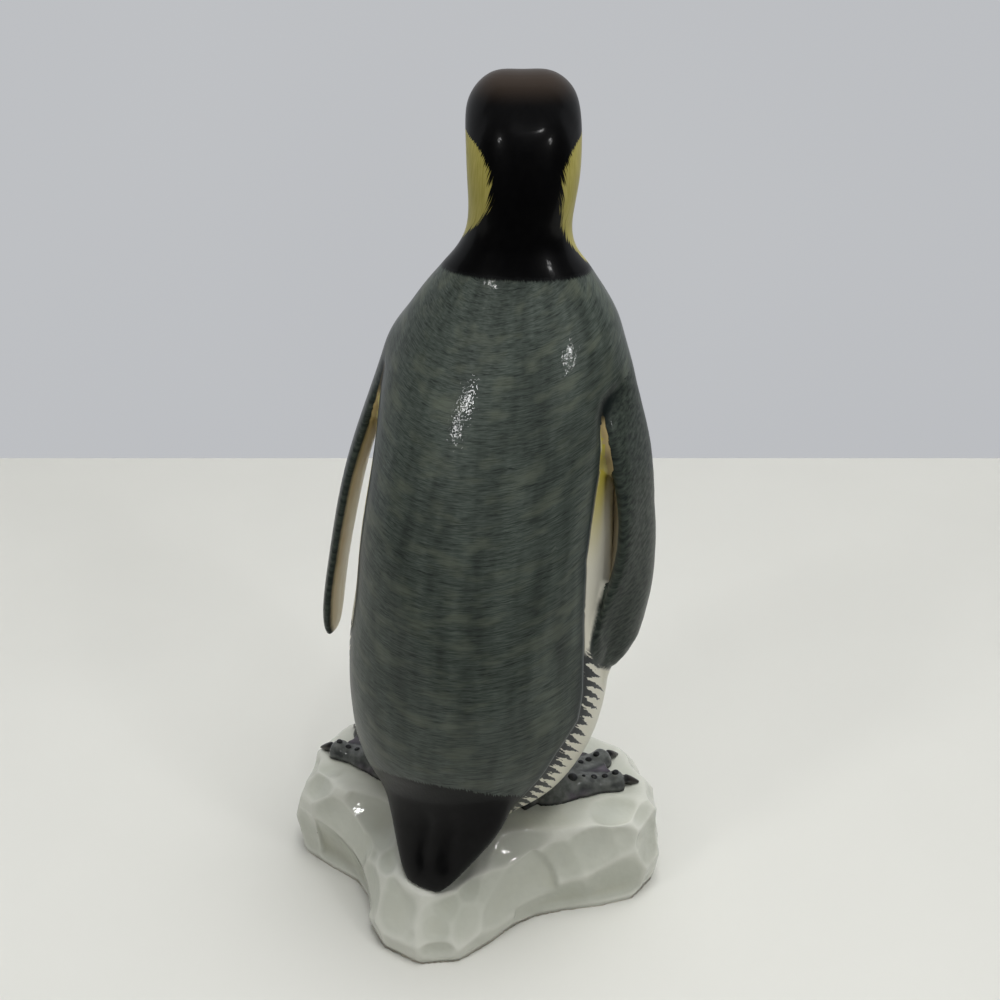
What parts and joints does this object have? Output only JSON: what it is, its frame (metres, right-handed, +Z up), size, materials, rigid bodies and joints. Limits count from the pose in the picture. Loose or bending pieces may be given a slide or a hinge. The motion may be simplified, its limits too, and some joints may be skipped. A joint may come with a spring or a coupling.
{
  "type": "penguin figurine",
  "caption": "Glazed porcelain penguin standing on an uneven block of ice, with its head turned aside and its flippers held out.",
  "frame": {"origin": "middle of the bounding box on the plane that the ice stands on", "axes": "+Z up, the penguin's breast faces -Y, its left flipper is on +X"},
  "size_m": [0.1148, 0.1052, 0.2349],
  "materials": {
    "ice_glaze": "clear gloss glaze over greenish white porcelain",
    "body_glaze": "clear gloss glaze over slate grey underglaze brushed on white porcelain",
    "black_glaze": "clear gloss glaze over black underglaze",
    "foot_glaze": "clear gloss glaze over dark grey underglaze"
  },
  "bodies": {
    "root": {"ice_base": "ice_glaze", "torso": "body_glaze", "head": "black_glaze", "beak": "black_glaze", "right_flipper": "body_glaze", "left_flipper": "body_glaze", "tail": "black_glaze", "right_foot": "foot_glaze", "left_foot": "foot_glaze"}
  },
  "joints": []
}
